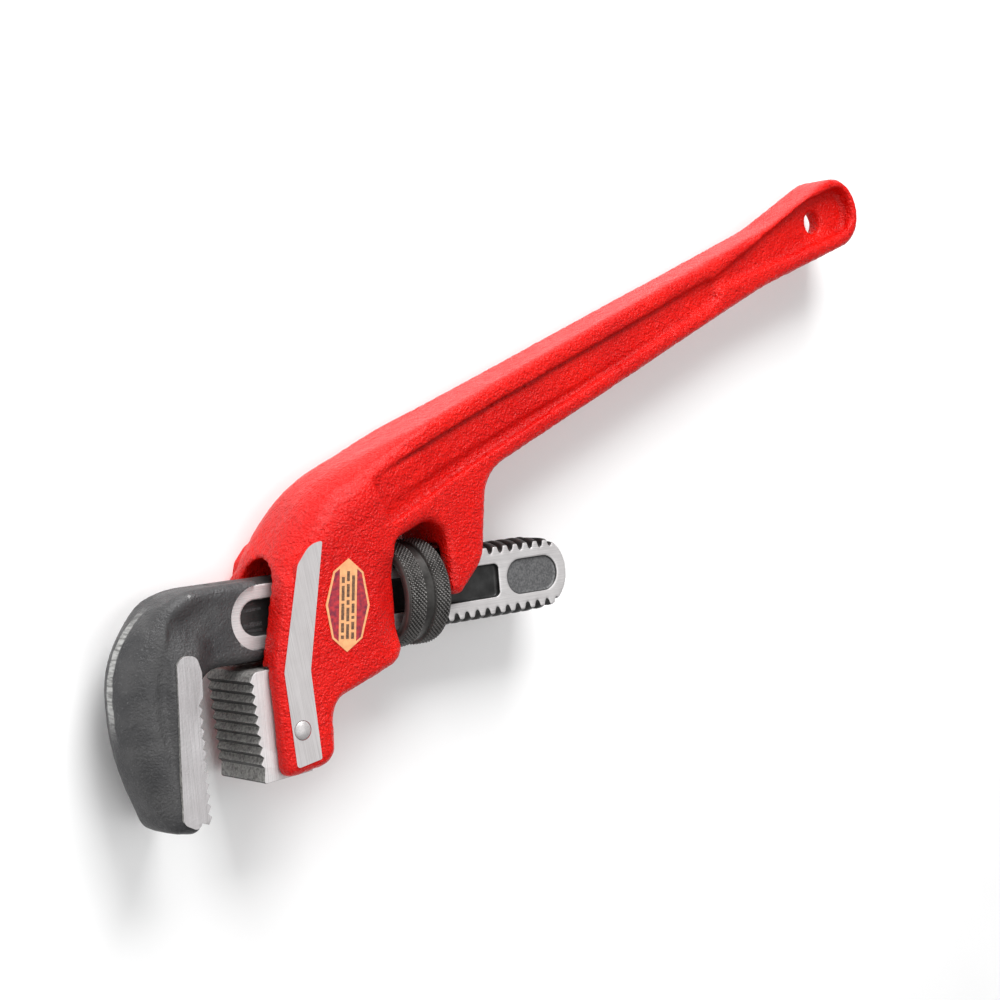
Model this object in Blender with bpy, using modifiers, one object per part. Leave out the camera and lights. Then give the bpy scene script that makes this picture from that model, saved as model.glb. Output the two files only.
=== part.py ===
"""End-pattern pipe wrench, 18 in size, lying on its side.

X runs along the threaded shank, from the jaws (-X) to the grip (+X). Y is up the side of the wrench, with the
jaws' mouth open towards -Y. Z is its thickness. Every dimension below is in millimetres and is measured from the
centre of the adjusting nut, which is also the point that the jaw rocks about. The last step sets the wrench down,
so that the world origin is under the middle of its bounding box.
"""

import math

import bmesh
import bpy
import numpy as np
from mathutils import Matrix, Vector

MM = 0.001
ARC_STEP = math.radians(15)

# Adjusting nut and thread
PITCH = 4.85
NUT_RADIUS = 19.2
NUT_HALF_WIDTH = 9.4
NUT_BORE = 14.5
NUT_GROOVE = (-1.6, 2.1)
NUT_GROOVE_RADIUS = 17.9

# Shank of the hook jaw: a round screw blank with two flats
SHANK_HALF = 7.0
CREST_RADIUS = 14.07
ROOT_RADIUS = 11.9
BLANK_RADIUS = 13.0
RIDGE_BASE = 3.7
RIDGE_CREST = 2.3
THREAD_START = -38.0
SHANK_END = 73.8
SHANK_END_RADIUS = 13.5
FLAT_CENTRE = -65.5
FLAT_RADIUS = 11.0
RECESS_HALF = 6.0
RECESS_END = 40.8
RECESS_FLOOR = 5.0
OVAL_CENTRE = 57.0
OVAL_STRAIGHT = 11.2
OVAL_RADIUS = 6.6
OVAL_FLOOR = 6.1

# Jaw blocks and teeth
JAW_HALF = 13.85
HOOK_HALF = 11.5
HOOK_RIM = 4.0
HOOK_CROWN = 13.0
HOOK_TOOTH_PITCH = 3.54
HOOK_TOOTH_DEPTH = 1.3
HOOK_TEETH = 11
HOOK_FIRST_TIP = (-92.9, -26.0)
HEEL_TOOTH_PITCH = 3.48
HEEL_TOOTH_DEPTH = 1.3
HEEL_TEETH = 9
HEEL_FIRST_TIP = (-74.2, -20.2)
HEEL_LEAN = 0.06
HEEL_BACK = -52.5
PIN_CENTRE = (-59.1, -38.2)
PIN_RADIUS = 3.15
PIN_DOME = 1.1
PIN_GAP = 0.2

# Casting
SIDE = 19.8
PAD = 20.0
RIM = 3.4
SHOULDER_REACH = [(0, 3.4), (10, 5.5), (16, 9.0), (24, 12.0), (34, 14.0)]
SHOULDER_DROP = [(-4, 0.0), (8, 6.0), (14, 10.0), (22, 12.5), (30, 14.0)]
SCOOP = 3.2
SLOT_HALF = 10.0
SLOT_TOP = 18.9
SLOT_FLOOR = -16.6
SEAT_HALF = JAW_HALF + 0.3
SADDLE_HALF = 7.8
SADDLE_TOP = 16.5
HOLE_CENTRE = (232.6, 131.0)
HOLE_RADIUS = 4.8

# Springs
LEAF_HALF = 4.0
LEAF_THICK = 0.9
COIL_CENTRE = -44.0
COIL_RADIUS = 3.0
COIL_WIRE = 0.45
COIL_TURNS = 6
POCKET_RADIUS = 4.2
POCKET_TOP = 25.0
RIVET_X = -19.5
RIVET_RADIUS = 1.6

# Corners of the outlines, as (x, y, radius)
CASTING = [
    (-66.3, -54.0, 3.6),
    (-67.3, -18.0, 9.0),
    (-58.4, 18.6, 20.0),
    (-44.7, 41.4, 58.0),
    (200.0, 129.4, 60.0),
    (249.2, 154.7, 14.0),
    (261.4, 124.9, 14.6),
    (193.0, 103.8, 60.0),
    (34.9, 40.1, 16.0),
    (30.3, 9.0, 13.0),
    (13.2, -6.8, 3.6),
    (12.6, 28.5, 9.0),
    (-12.6, 20.4, 4.5),
    (-13.2, -20.9, 7.5),
    (-44.8, -31.2, 8.0),
    (-45.4, -51.4, 7.0),
]
PAD_CORNERS = [
    (-62.4, -50.6, 1.2),
    (-64.4, -18.0, 4.0),
    (-55.6, 17.0, 5.0),
    (-50.0, 23.3, 8.0),
    (-44.9, 23.9, 0.6),
    (-53.9, -18.8, 4.0),
    (-52.3, -49.0, 0.8),
]
CHANNEL = [
    (-14.0, 26.2, 2.0),
    (-21.0, 43.0, 3.0),
    (165.0, 109.6, 4.0),
    (165.0, 99.2, 4.0),
]
TERRACE = [
    (-15.5, 32.6, 1.0),
    (-16.8, 42.6, 1.0),
    (150.0, 102.4, 3.0),
    (153.0, 94.8, 3.0),
]
GRIP_DISH = [
    (158.0, 102.0, 1.4),
    (158.0, 105.5, 1.4),
    (224.0, 139.8, 10.0),
    (250.0, 147.5, 8.5),
    (253.5, 128.5, 8.5),
    (226.0, 120.8, 10.0),
]
HOOK_BODY = [
    (-62.0, 12.6, 4.2),
    (-117.8, 12.6, 33.0),
    (-119.2, -39.6, 76.0),
    (-108.0, -65.0, 7.6),
    (-94.6, -67.2, 4.2),
    (-94.6, -14.5, 14.0),
    (-62.0, -14.5, 4.2),
]
LABEL_CORNERS = [(0, 15.9), (6.2, 11.3), (9.1, 0), (6.2, -11.3), (0, -15.9), (-6.2, -11.3), (-9.1, 0), (-6.2, 11.3)]
LABEL_CENTRE = (-36.7, 1.0)
LABEL_LEAN = math.radians(-7.1)

# Half thickness of the casting along X, and the heights of its channel, terrace and grip dish
THICKNESS = [
    (-70, SIDE),
    (-24, SIDE),
    (-12, 18.4),
    (2, 16.2),
    (16, 14.2),
    (34, 12.8),
    (60, 12.0),
    (200, 10.2),
    (260, 9.8),
]
CHANNEL_FLOOR = [(-22, 17.6), (0, 13.4), (20, 10.0), (60, 8.4), (170, 7.6)]
TERRACE_TOP = [(-22, 17.3), (-12, 16.2), (0, 14.5), (20, 11.2), (60, 9.6), (155, 8.2)]
GRIP_FLOOR = [(155, 8.4), (200, 6.8), (224, 4.0), (256, 3.8)]

# Half thickness of the hook jaw's head along X: its neck runs in the slot of the casting
HEAD_THICKNESS = [(-125, HOOK_HALF), (-93, HOOK_HALF), (-85, 9.4), (-60, 9.4)]


def fillet(corners):
    """Closed outline through (x, y, radius) corners, each of them rounded by an arc."""
    points = []
    for index, (x, y, radius) in enumerate(corners):
        corner = Vector((x, y))
        before = (Vector(corners[index - 1][:2]) - corner).normalized()
        after = (Vector(corners[(index + 1) % len(corners)][:2]) - corner).normalized()
        half = before.angle(after) / 2
        centre = corner + (before + after).normalized() * radius / math.sin(half)
        start = corner + before * radius / math.tan(half) - centre
        turn = math.pi - 2 * half
        if start.to_3d().cross(corner.to_3d() - centre.to_3d()).z < 0:
            turn = -turn
        steps = max(1, math.ceil(abs(turn) / ARC_STEP))
        for step in range(steps + 1):
            swung = Matrix.Rotation(turn * step / steps, 2) @ start
            points.append(tuple(centre + swung))
    return points


def add_object(name, mesh):
    obj = bpy.data.objects.new(name, mesh)
    bpy.context.scene.collection.objects.link(obj)
    return obj


def bake(obj):
    """Replaces an object by its evaluated mesh, in the same place."""
    bpy.context.view_layer.update()
    mesh = bpy.data.meshes.new_from_object(obj.evaluated_get(bpy.context.evaluated_depsgraph_get()))
    mesh.transform(obj.matrix_world)
    work = bmesh.new()
    work.from_mesh(mesh)
    bmesh.ops.remove_doubles(work, verts=work.verts, dist=0.002 * MM)
    bmesh.ops.recalc_face_normals(work, faces=work.faces)
    work.to_mesh(mesh)
    work.free()
    name = obj.name
    bpy.data.objects.remove(obj)
    return add_object(name, mesh)


def plate(name, outline, low, high, rim=0.0, rim_steps=1):
    """Solid plate of an outline in XY, from height low to high, with its rim rounded."""
    curve = bpy.data.curves.new(name, "CURVE")
    curve.dimensions = "2D"
    curve.fill_mode = "BOTH"
    curve.extrude = ((high - low) / 2 - rim) * MM
    curve.bevel_depth = rim * MM
    curve.bevel_resolution = rim_steps
    curve.offset = -rim * MM
    spline = curve.splines.new("POLY")
    spline.points.add(len(outline) - 1)
    for point, (x, y) in zip(spline.points, outline):
        point.co = (x * MM, y * MM, 0, 1)
    spline.use_cyclic_u = True
    obj = add_object(name, curve)
    obj.location.z = (low + high) / 2 * MM
    return bake(obj)


def box(name, low, high):
    middle = [(a + b) / 2 * MM for a, b in zip(low, high)]
    size = [(b - a) * MM for a, b in zip(low, high)]
    mesh = bpy.data.meshes.new(name)
    work = bmesh.new()
    bmesh.ops.create_cube(work, size=1, matrix=Matrix.LocRotScale(Vector(middle), None, Vector(size)))
    work.to_mesh(mesh)
    work.free()
    return add_object(name, mesh)


def rod(name, start, end, radius, sides=40):
    """Cylinder between two points."""
    start, end = Vector(start) * MM, Vector(end) * MM
    turn = (end - start).to_track_quat("Z", "Y")
    mesh = bpy.data.meshes.new(name)
    work = bmesh.new()
    bmesh.ops.create_cone(
        work,
        cap_ends=True,
        segments=sides,
        radius1=radius * MM,
        radius2=radius * MM,
        depth=(end - start).length,
        matrix=Matrix.LocRotScale((start + end) / 2, turn, None),
    )
    work.to_mesh(mesh)
    work.free()
    return add_object(name, mesh)


def combine(target, tools, operation):
    """Cuts, joins or intersects the target with each tool, and removes the tools."""
    for tool in tools:
        modifier = target.modifiers.new(tool.name, "BOOLEAN")
        modifier.operation = operation
        modifier.solver = "EXACT"
        modifier.object = tool
    target = bake(target)
    for tool in tools:
        bpy.data.objects.remove(tool)
    return target


def slice_mesh(obj, stations, normal):
    """Adds vertices where the planes at these stations cross the mesh, so that it can be bent there."""
    work = bmesh.new()
    work.from_mesh(obj.data)
    for station in stations:
        geometry = work.verts[:] + work.edges[:] + work.faces[:]
        bmesh.ops.bisect_plane(
            work, geom=geometry, dist=1e-7, plane_co=Vector(normal) * station * MM, plane_no=normal
        )
    bmesh.ops.triangulate(work, faces=work.faces[:])
    work.to_mesh(obj.data)
    work.free()


def along(stations, x):
    return float(np.interp(x, [at for at, _ in stations], [value for _, value in stations]))


def smooth_step(value):
    value = min(max(value, 0.0), 1.0)
    return value * value * (3 - 2 * value)


def distance_to_line(x, y, line):
    """Distance from a point to an open line through the given points."""
    starts = np.array(line[:-1])
    spans = np.array(line[1:]) - starts
    offsets = np.array((x, y)) - starts
    share = np.clip((offsets * spans).sum(axis=1) / (spans**2).sum(axis=1), 0, 1)
    return float(np.linalg.norm(offsets - share[:, None] * spans, axis=1).min())


def half_thickness(x, y, top_line):
    """Half thickness of the casting: tapered to the grip, round-shouldered on top and scooped beside the nut."""
    half = along(THICKNESS, x)
    share = max(1 - distance_to_line(x, y, top_line) / along(SHOULDER_REACH, y), 0)
    fade = 1 - smooth_step((x + 30) / 42)
    half -= fade * along(SHOULDER_DROP, y) * (1 - math.sqrt(1 - share**2))
    if x < 0:
        half -= SCOOP * smooth_step((x + 25) / 13) * (1 - smooth_step((abs(y) - 9) / 9))
    return half


def build_casting_blank():
    blank = plate("handle_housing", fillet(CASTING), -SIDE, SIDE, RIM)
    slice_mesh(blank, list(range(-60, 20, 5)) + [28, 45, 70, 120, 200], (1, 0, 0))
    slice_mesh(blank, range(-15, 50, 5), (0, 1, 0))
    top_line = [point for point in fillet(CASTING[:5] + [(200, 0, 1)]) if point[1] > -10]
    for vertex in blank.data.vertices:
        x, y, z = vertex.co / MM
        vertex.co.z = z / SIDE * half_thickness(x, y, top_line) * MM
    return blank


def follow_floor(obj, floor, split):
    """Moves a plate's lower face onto a floor that varies along X."""
    slice_mesh(obj, [station for station, _ in floor], (1, 0, 0))
    for vertex in obj.data.vertices:
        if vertex.co.z < split * MM:
            vertex.co.z = along(floor, vertex.co.x / MM) * MM
    return obj


def follow_top(obj, top):
    slice_mesh(obj, [station for station, _ in top], (1, 0, 0))
    for vertex in obj.data.vertices:
        if vertex.co.z > 0:
            vertex.co.z = along(top, vertex.co.x / MM) * MM
    return obj


def mirrored(obj):
    """Second copy of a one-sided tool, for the other side of the wrench."""
    copy = add_object(obj.name + "_back", obj.data.copy())
    copy.data.transform(Matrix.Diagonal((1, 1, -1, 1)))
    copy.data.flip_normals()
    return copy


def across_shank(name, outline, start, end):
    """Solid of an outline in ZY, run along X from start to end."""
    tool = plate(name, outline, start, end)
    tool.data.transform(Matrix.Rotation(math.pi / 2, 4, "Y"))
    return tool


def build_casting():
    casting = build_casting_blank()
    channel = follow_floor(plate("channel", fillet(CHANNEL), 0, 30), CHANNEL_FLOOR, 5)
    grip = follow_floor(plate("grip_dish", fillet(GRIP_DISH), 0, 30), GRIP_FLOOR, 5)
    casting = combine(casting, [channel, mirrored(channel), grip, mirrored(grip)], "DIFFERENCE")
    terrace = follow_top(plate("terrace", fillet(TERRACE), -1, 30), TERRACE_TOP)
    pads = plate("pads", fillet(PAD_CORNERS), -PAD, PAD)
    casting = combine(casting, [terrace, mirrored(terrace), pads], "UNION")
    slot_corners = [
        (-SLOT_HALF, SLOT_FLOOR, 1.5),
        (SLOT_HALF, SLOT_FLOOR, 1.5),
        (SLOT_HALF, SLOT_TOP, SLOT_HALF - 0.1),
        (-SLOT_HALF, SLOT_TOP, SLOT_HALF - 0.1),
    ]
    tools = [
        across_shank("slot", fillet(slot_corners), -90, -5),
        box("heel_seat", (-90, -70, -SEAT_HALF), (HEEL_BACK + 0.3, SLOT_FLOOR + 0.4, SEAT_HALF)),
        box("saddle", (5, -20, -SADDLE_HALF), (60, SADDLE_TOP, SADDLE_HALF)),
        rod("hang_hole", (*HOLE_CENTRE, -30), (*HOLE_CENTRE, 30), HOLE_RADIUS),
        rod("pin_bore", (*PIN_CENTRE, -30), (*PIN_CENTRE, 30), PIN_RADIUS + PIN_GAP),
        rod("coil_pocket", (COIL_CENTRE, 10, 0), (COIL_CENTRE, POCKET_TOP, 0), POCKET_RADIUS, 24),
        rod("rivet_bore", (RIVET_X, 10, 0), (RIVET_X, 26, 0), RIVET_RADIUS + 0.2, 16),
    ]
    return combine(casting, tools, "DIFFERENCE")


def tooth_line(first_tip, lean, pitch, depth, count, tip_share):
    """Points of a row of hooked teeth that runs towards -Y. depth is signed: the roots lie that way along X."""
    points = []
    for index in range(count):
        tip_y = first_tip[1] - index * pitch
        tip_x = first_tip[0] + lean * index * pitch
        points.append((tip_x + depth, tip_y + tip_share * pitch))
        points.append((tip_x, tip_y))
    last_x, last_y = points[-1]
    points.append((last_x + depth, last_y - (1 - tip_share) * pitch))
    return points


def thread_ridge():
    """Helical ridge of the right-hand thread, as one closed solid."""
    turns = math.ceil((SHANK_END + 4 - THREAD_START) / PITCH)
    steps = 20
    mesh = bpy.data.meshes.new("ridge")
    work = bmesh.new()
    low, high = ROOT_RADIUS - 0.8, CREST_RADIUS
    profile = [(-RIDGE_BASE / 2, low), (RIDGE_BASE / 2, low), (RIDGE_CREST / 2, high), (-RIDGE_CREST / 2, high)]
    corners = [work.verts.new(((THREAD_START + x) * MM, radius * MM, 0)) for x, radius in profile]
    face = work.faces.new(corners)
    bmesh.ops.spin(
        work,
        geom=[face] + list(face.edges) + corners,
        cent=(0, 0, 0),
        axis=(1, 0, 0),
        dvec=(PITCH * MM / steps, 0, 0),
        angle=2 * math.pi * turns,
        steps=steps * turns,
    )
    bmesh.ops.recalc_face_normals(work, faces=work.faces)
    # Turned a little, so that its ends don't lie along the edges of the core's facets
    work.transform(Matrix.Rotation(ARC_STEP / 6, 4, "X"))
    work.to_mesh(mesh)
    work.free()
    return add_object("ridge", mesh)


def build_shank():
    shank = rod("hook_jaw", (THREAD_START - 2, 0, 0), (SHANK_END + 4, 0, 0), ROOT_RADIUS, 60)
    shank = combine(shank, [thread_ridge()], "UNION")
    blank = rod("blank", (-80, 0, 0), (THREAD_START + 0.4, 0, 0), BLANK_RADIUS, 60)
    shank = combine(shank, [blank], "UNION")
    lower_half = [
        (FLAT_CENTRE - 20, -20, 1),
        (SHANK_END - 22, -20, 1),
        (SHANK_END - 15, -SHANK_END_RADIUS, 1),
        (SHANK_END, -SHANK_END_RADIUS, SHANK_END_RADIUS - 0.1),
    ]
    upper_half = [(x, -y, radius) for x, y, radius in reversed(lower_half)]
    flats = fillet(lower_half + upper_half)
    return combine(shank, [plate("flats", flats, -SHANK_HALF, SHANK_HALF)], "INTERSECT")


def build_hook_jaw():
    jaw = build_shank()
    head = plate("head", fillet(HOOK_BODY), -HOOK_HALF, HOOK_HALF, HOOK_RIM, 2)
    slice_mesh(head, [station for station, _ in HEAD_THICKNESS], (1, 0, 0))
    slice_mesh(head, (-5, -2.5, 0, 2.5, 5), (0, 0, 1))
    for vertex in head.data.vertices:
        x, _, z = vertex.co / MM
        crown = HOOK_CROWN - math.sqrt(HOOK_CROWN**2 - z**2)
        vertex.co.x += crown * smooth_step((-98 - x) / 16) * MM
        vertex.co.z *= along(HEAD_THICKNESS, x) / HOOK_HALF
    flat = [
        (FLAT_CENTRE, FLAT_RADIUS, 0.1),
        (FLAT_CENTRE - FLAT_RADIUS, FLAT_RADIUS, FLAT_RADIUS - 0.1),
        (FLAT_CENTRE - FLAT_RADIUS, -FLAT_RADIUS, FLAT_RADIUS - 0.1),
        (FLAT_CENTRE, -FLAT_RADIUS, 0.1),
        (-50, -30, 1),
        (-50, 30, 1),
    ]
    milled = plate("milled_flat", fillet(flat), SHANK_HALF, 20)
    head = combine(head, [milled, mirrored(milled)], "DIFFERENCE")
    teeth = tooth_line(HOOK_FIRST_TIP, 0.0, HOOK_TOOTH_PITCH, -HOOK_TOOTH_DEPTH, HOOK_TEETH, 0.35)
    strip = [
        (-91.9, -14.0),
        (-93.6, -9.6),
        (-97.2, -7.6),
        (-100.4, -9.0),
        (-102.0, -13.0),
        (-103.4, -61.0),
        (-101.0, -64.4),
        (-95.2, -65.2),
    ]
    strip = plate("tooth_strip", strip + teeth[::-1] + [(-92.3, -22.0)], -JAW_HALF, JAW_HALF)
    jaw = combine(jaw, [head, strip], "UNION")
    recess = [
        (FLAT_CENTRE - RECESS_HALF + 0.2, RECESS_HALF, RECESS_HALF - 0.1),
        (FLAT_CENTRE - RECESS_HALF + 0.2, -RECESS_HALF, RECESS_HALF - 0.1),
        (RECESS_END, -RECESS_HALF, 2.0),
        (RECESS_END, RECESS_HALF, 2.0),
    ]
    oval_end = OVAL_STRAIGHT / 2 + OVAL_RADIUS
    oval = [
        (OVAL_CENTRE + across * oval_end, up * OVAL_RADIUS, OVAL_RADIUS - 0.01)
        for across, up in ((1, 1), (-1, 1), (-1, -1), (1, -1))
    ]
    recess_tool = plate("recess", fillet(recess), RECESS_FLOOR, 20)
    oval_tool = plate("oval", fillet(oval), OVAL_FLOOR, 20)
    tools = [recess_tool, mirrored(recess_tool), oval_tool, mirrored(oval_tool)]
    return combine(jaw, tools, "DIFFERENCE")


def build_heel_jaw():
    teeth = tooth_line(HEEL_FIRST_TIP, HEEL_LEAN, HEEL_TOOTH_PITCH, HEEL_TOOTH_DEPTH, HEEL_TEETH, 0.62)
    outline = [(HEEL_BACK, -17.0), (-72.6, -17.9)] + teeth + [(-71.8, -54.0), (-71.3, -54.6), (HEEL_BACK, -53.6)]
    jaw = plate("heel_jaw", outline, -JAW_HALF, JAW_HALF)
    bore = rod("bore", (*PIN_CENTRE, -30), (*PIN_CENTRE, 30), PIN_RADIUS + PIN_GAP)
    return combine(jaw, [bore], "DIFFERENCE")


def lathe(name, profile, steps=48):
    """Solid of an (x, radius) profile turned about the X axis, where it starts and ends or which it goes round."""
    mesh = bpy.data.meshes.new(name)
    edges = [(index, index + 1) for index in range(len(profile) - 1)]
    if profile[0][1] > 0:
        edges.append((len(profile) - 1, 0))
    mesh.from_pydata([(x * MM, radius * MM, 0) for x, radius in profile], edges, [])
    obj = add_object(name, mesh)
    screw = obj.modifiers.new("turn", "SCREW")
    screw.axis = "X"
    screw.steps = steps
    screw.render_steps = steps
    screw.use_merge_vertices = True
    screw.merge_threshold = 0.00001
    return bake(obj)


def build_nut():
    chamfer = 1.2
    groove_start, groove_end = NUT_GROOVE
    profile = [
        (-NUT_HALF_WIDTH, NUT_BORE + 1),
        (-NUT_HALF_WIDTH + 1, NUT_BORE),
        (NUT_HALF_WIDTH - 1, NUT_BORE),
        (NUT_HALF_WIDTH, NUT_BORE + 1),
        (NUT_HALF_WIDTH, NUT_RADIUS - chamfer),
        (NUT_HALF_WIDTH - chamfer, NUT_RADIUS),
        (groove_end + 0.3, NUT_RADIUS),
        (groove_end, NUT_GROOVE_RADIUS),
        (groove_start, NUT_GROOVE_RADIUS),
        (groove_start - 0.8, NUT_RADIUS),
        (-NUT_HALF_WIDTH + chamfer, NUT_RADIUS),
        (-NUT_HALF_WIDTH, NUT_RADIUS - chamfer),
    ]
    return lathe("adjusting_nut", profile)


def build_pin():
    """Straight pin with a domed head that stands out of the front pad."""
    sphere_radius = (PIN_RADIUS**2 + PIN_DOME**2) / (2 * PIN_DOME)
    half_angle = math.asin(PIN_RADIUS / sphere_radius)
    profile = [(-PAD + 0.4, 0), (-PAD + 0.4, PIN_RADIUS - 0.4), (-PAD + 0.8, PIN_RADIUS)]
    for step in range(6):
        angle = half_angle * (1 - step / 5)
        height = PAD + PIN_DOME - sphere_radius + sphere_radius * math.cos(angle)
        profile.append((height, sphere_radius * math.sin(angle)))
    pin = lathe("heel_jaw_pin", profile, 32)
    pin.data.transform(Matrix.Rotation(-math.pi / 2, 4, "Y"))
    pin.data.transform(Matrix.Translation(Vector((*PIN_CENTRE, 0)) * MM))
    return pin


def build_flat_spring():
    """Leaf that is riveted under the roof of the housing and presses on the shank."""
    lower = [(-52.0, 15.6), (-48.0, 14.7), (-40.0, 14.5), (-32.0, 14.8), (-26.0, 16.0), (-23.0, 16.8), (-15.5, 16.8)]
    upper = [(x, y + LEAF_THICK) for x, y in reversed(lower)]
    leaf = plate("flat_spring", lower + upper, -LEAF_HALF, LEAF_HALF)
    hole = rod("hole", (RIVET_X, 10, 0), (RIVET_X, 26, 0), RIVET_RADIUS + 0.2, 16)
    return combine(leaf, [hole], "DIFFERENCE")


def build_rivet():
    head = RIVET_RADIUS + 1
    profile = [(15.5, 0), (15.5, head - 0.5), (16.0, head), (16.5, head), (16.5, RIVET_RADIUS)]
    profile += [(25.5, RIVET_RADIUS), (25.5, 0)]
    rivet = lathe("spring_rivet", profile, 24)
    rivet.data.transform(Matrix.Rotation(math.pi / 2, 4, "Z"))
    rivet.data.transform(Matrix.Translation((RIVET_X * MM, 0, 0)))
    return rivet


def build_coil_spring():
    """Coil between the leaf and the top of its pocket in the housing."""
    low, high = 16.2, POCKET_TOP - 0.8
    curve = bpy.data.curves.new("coil_spring", "CURVE")
    curve.dimensions = "3D"
    curve.bevel_depth = COIL_WIRE * MM
    curve.bevel_resolution = 1
    curve.use_fill_caps = True
    steps = 12 * COIL_TURNS
    spline = curve.splines.new("POLY")
    spline.points.add(steps)
    for index, point in enumerate(spline.points):
        angle = 2 * math.pi * index / 12
        height = low + (high - low) * index / steps
        x = COIL_CENTRE + COIL_RADIUS * math.cos(angle)
        z = COIL_RADIUS * math.sin(angle)
        point.co = (x * MM, height * MM, z * MM, 1)
    return bake(add_object("coil_spring", curve))


def build_label():
    label = plate("service_label", LABEL_CORNERS, 0, 0.2)
    label.data.transform(Matrix.Rotation(LABEL_LEAN, 4, "Z"))
    label.data.transform(Matrix.Translation(Vector((*LABEL_CENTRE, SIDE + 0.03)) * MM))
    return label


def material(name, colour, roughness, metallic):
    made = bpy.data.materials.new(name)
    made.use_nodes = True
    shader = made.node_tree.nodes["Principled BSDF"]
    shader.inputs["Base Color"].default_value = (*colour, 1)
    shader.inputs["Roughness"].default_value = roughness
    shader.inputs["Metallic"].default_value = metallic
    made.diffuse_color = (*colour, 1)
    return made


def finish(obj, collection, surface):
    """Shading, material and collection of a finished piece."""
    obj.data.materials.clear()
    obj.data.materials.append(surface)
    obj.data.polygons.foreach_set("material_index", [0] * len(obj.data.polygons))
    obj.data.shade_smooth()
    obj.data.set_sharp_from_angle(angle=math.radians(30))
    bpy.context.scene.collection.objects.unlink(obj)
    collection.objects.link(obj)


def set_down(pieces):
    """Moves the pieces together until the origin is under the middle of their bounding box."""
    corners = np.array([vertex.co for piece in pieces for vertex in piece.data.vertices])
    low, high = corners.min(axis=0), corners.max(axis=0)
    middle = (low + high) / 2
    for piece in pieces:
        piece.location = (-middle[0], -middle[1], -low[2])


def main():
    for obj in list(bpy.data.objects):
        bpy.data.objects.remove(obj)
    collection = bpy.data.collections.new("pipe_wrench")
    bpy.context.scene.collection.children.link(collection)
    red = material("red_paint", (0.62, 0.015, 0.01), 0.4, 0.0)
    forged = material("forged_steel", (0.09, 0.09, 0.095), 0.5, 0.9)
    knurled = material("black_steel", (0.06, 0.06, 0.062), 0.45, 0.9)
    bright = material("ground_steel", (0.6, 0.59, 0.58), 0.3, 1.0)
    spring = material("spring_steel", (0.25, 0.24, 0.23), 0.35, 1.0)
    paper = material("label_print", (0.8, 0.5, 0.22), 0.5, 0.0)
    pieces = [
        (build_casting(), red),
        (build_hook_jaw(), forged),
        (build_nut(), knurled),
        (build_heel_jaw(), bright),
        (build_pin(), bright),
        (build_flat_spring(), spring),
        (build_coil_spring(), spring),
        (build_rivet(), bright),
        (build_label(), paper),
    ]
    for piece, surface in pieces:
        finish(piece, collection, surface)
    set_down([piece for piece, _ in pieces])


main()
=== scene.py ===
"""Looks of the end-pattern pipe wrench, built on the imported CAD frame.

Each detailed piece is modelled in millimetres from the centre of the adjusting nut, as the CAD
model is, and is then moved to where the frame has the nut.
"""

import math

import bmesh
import bpy
import numpy as np
from mathutils import Matrix, Vector, noise


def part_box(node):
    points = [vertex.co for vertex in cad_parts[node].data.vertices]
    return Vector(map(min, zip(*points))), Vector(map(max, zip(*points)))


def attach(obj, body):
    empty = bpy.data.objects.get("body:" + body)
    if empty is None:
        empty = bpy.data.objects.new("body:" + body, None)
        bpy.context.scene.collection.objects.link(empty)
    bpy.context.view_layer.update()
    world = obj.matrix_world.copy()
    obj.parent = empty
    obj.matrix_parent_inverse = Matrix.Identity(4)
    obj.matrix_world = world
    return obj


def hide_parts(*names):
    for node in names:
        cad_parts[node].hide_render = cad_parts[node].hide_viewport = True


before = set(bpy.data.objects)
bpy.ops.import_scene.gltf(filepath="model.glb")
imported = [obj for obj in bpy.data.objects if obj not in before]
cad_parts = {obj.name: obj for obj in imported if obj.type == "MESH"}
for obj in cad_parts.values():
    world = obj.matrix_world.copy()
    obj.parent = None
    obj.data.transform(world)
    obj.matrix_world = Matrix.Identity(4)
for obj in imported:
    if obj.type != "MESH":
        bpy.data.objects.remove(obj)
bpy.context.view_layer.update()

MM = 0.001
ARC_STEP = math.radians(5)
RIM_STEPS = 4
ROD_SIDES = 64
BEVEL_ANGLE = math.radians(25)
WELD = 0.002
ON_PLANE = 1e-7
SMOOTHING = 0.5

# A full round end is drawn with a radius this much under half of its width
ROUND_MARGIN = 0.1

# How far the cutting tools reach out of the casting, and out of the jaw
TOOL_REACH = 30.0
JAW_TOOL_REACH = 20.0

NUT_LOW, NUT_HIGH = (Vector(corner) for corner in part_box("adjusting_nut"))
NUT_CENTRE = (NUT_LOW + NUT_HIGH) / 2

# Adjusting nut: two knurled bands and a smooth groove between them
NUT_RADIUS = 19.2
NUT_HALF_WIDTH = 9.4
NUT_BORE = 14.5
NUT_GROOVE = (-1.6, 2.1)
NUT_GROOVE_RADIUS = 17.9
NUT_CHAMFER = 1.2
NUT_STATIONS = 100
KNURL_AROUND = 76
KNURL_PITCH = 1.59
KNURL_DEPTH = 0.62
KNURL_SLOPE = 1.5
KNURL_SAMPLES = 8
KNURL_MARGIN = 0.5
KNURL_FADE = 0.6

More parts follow.
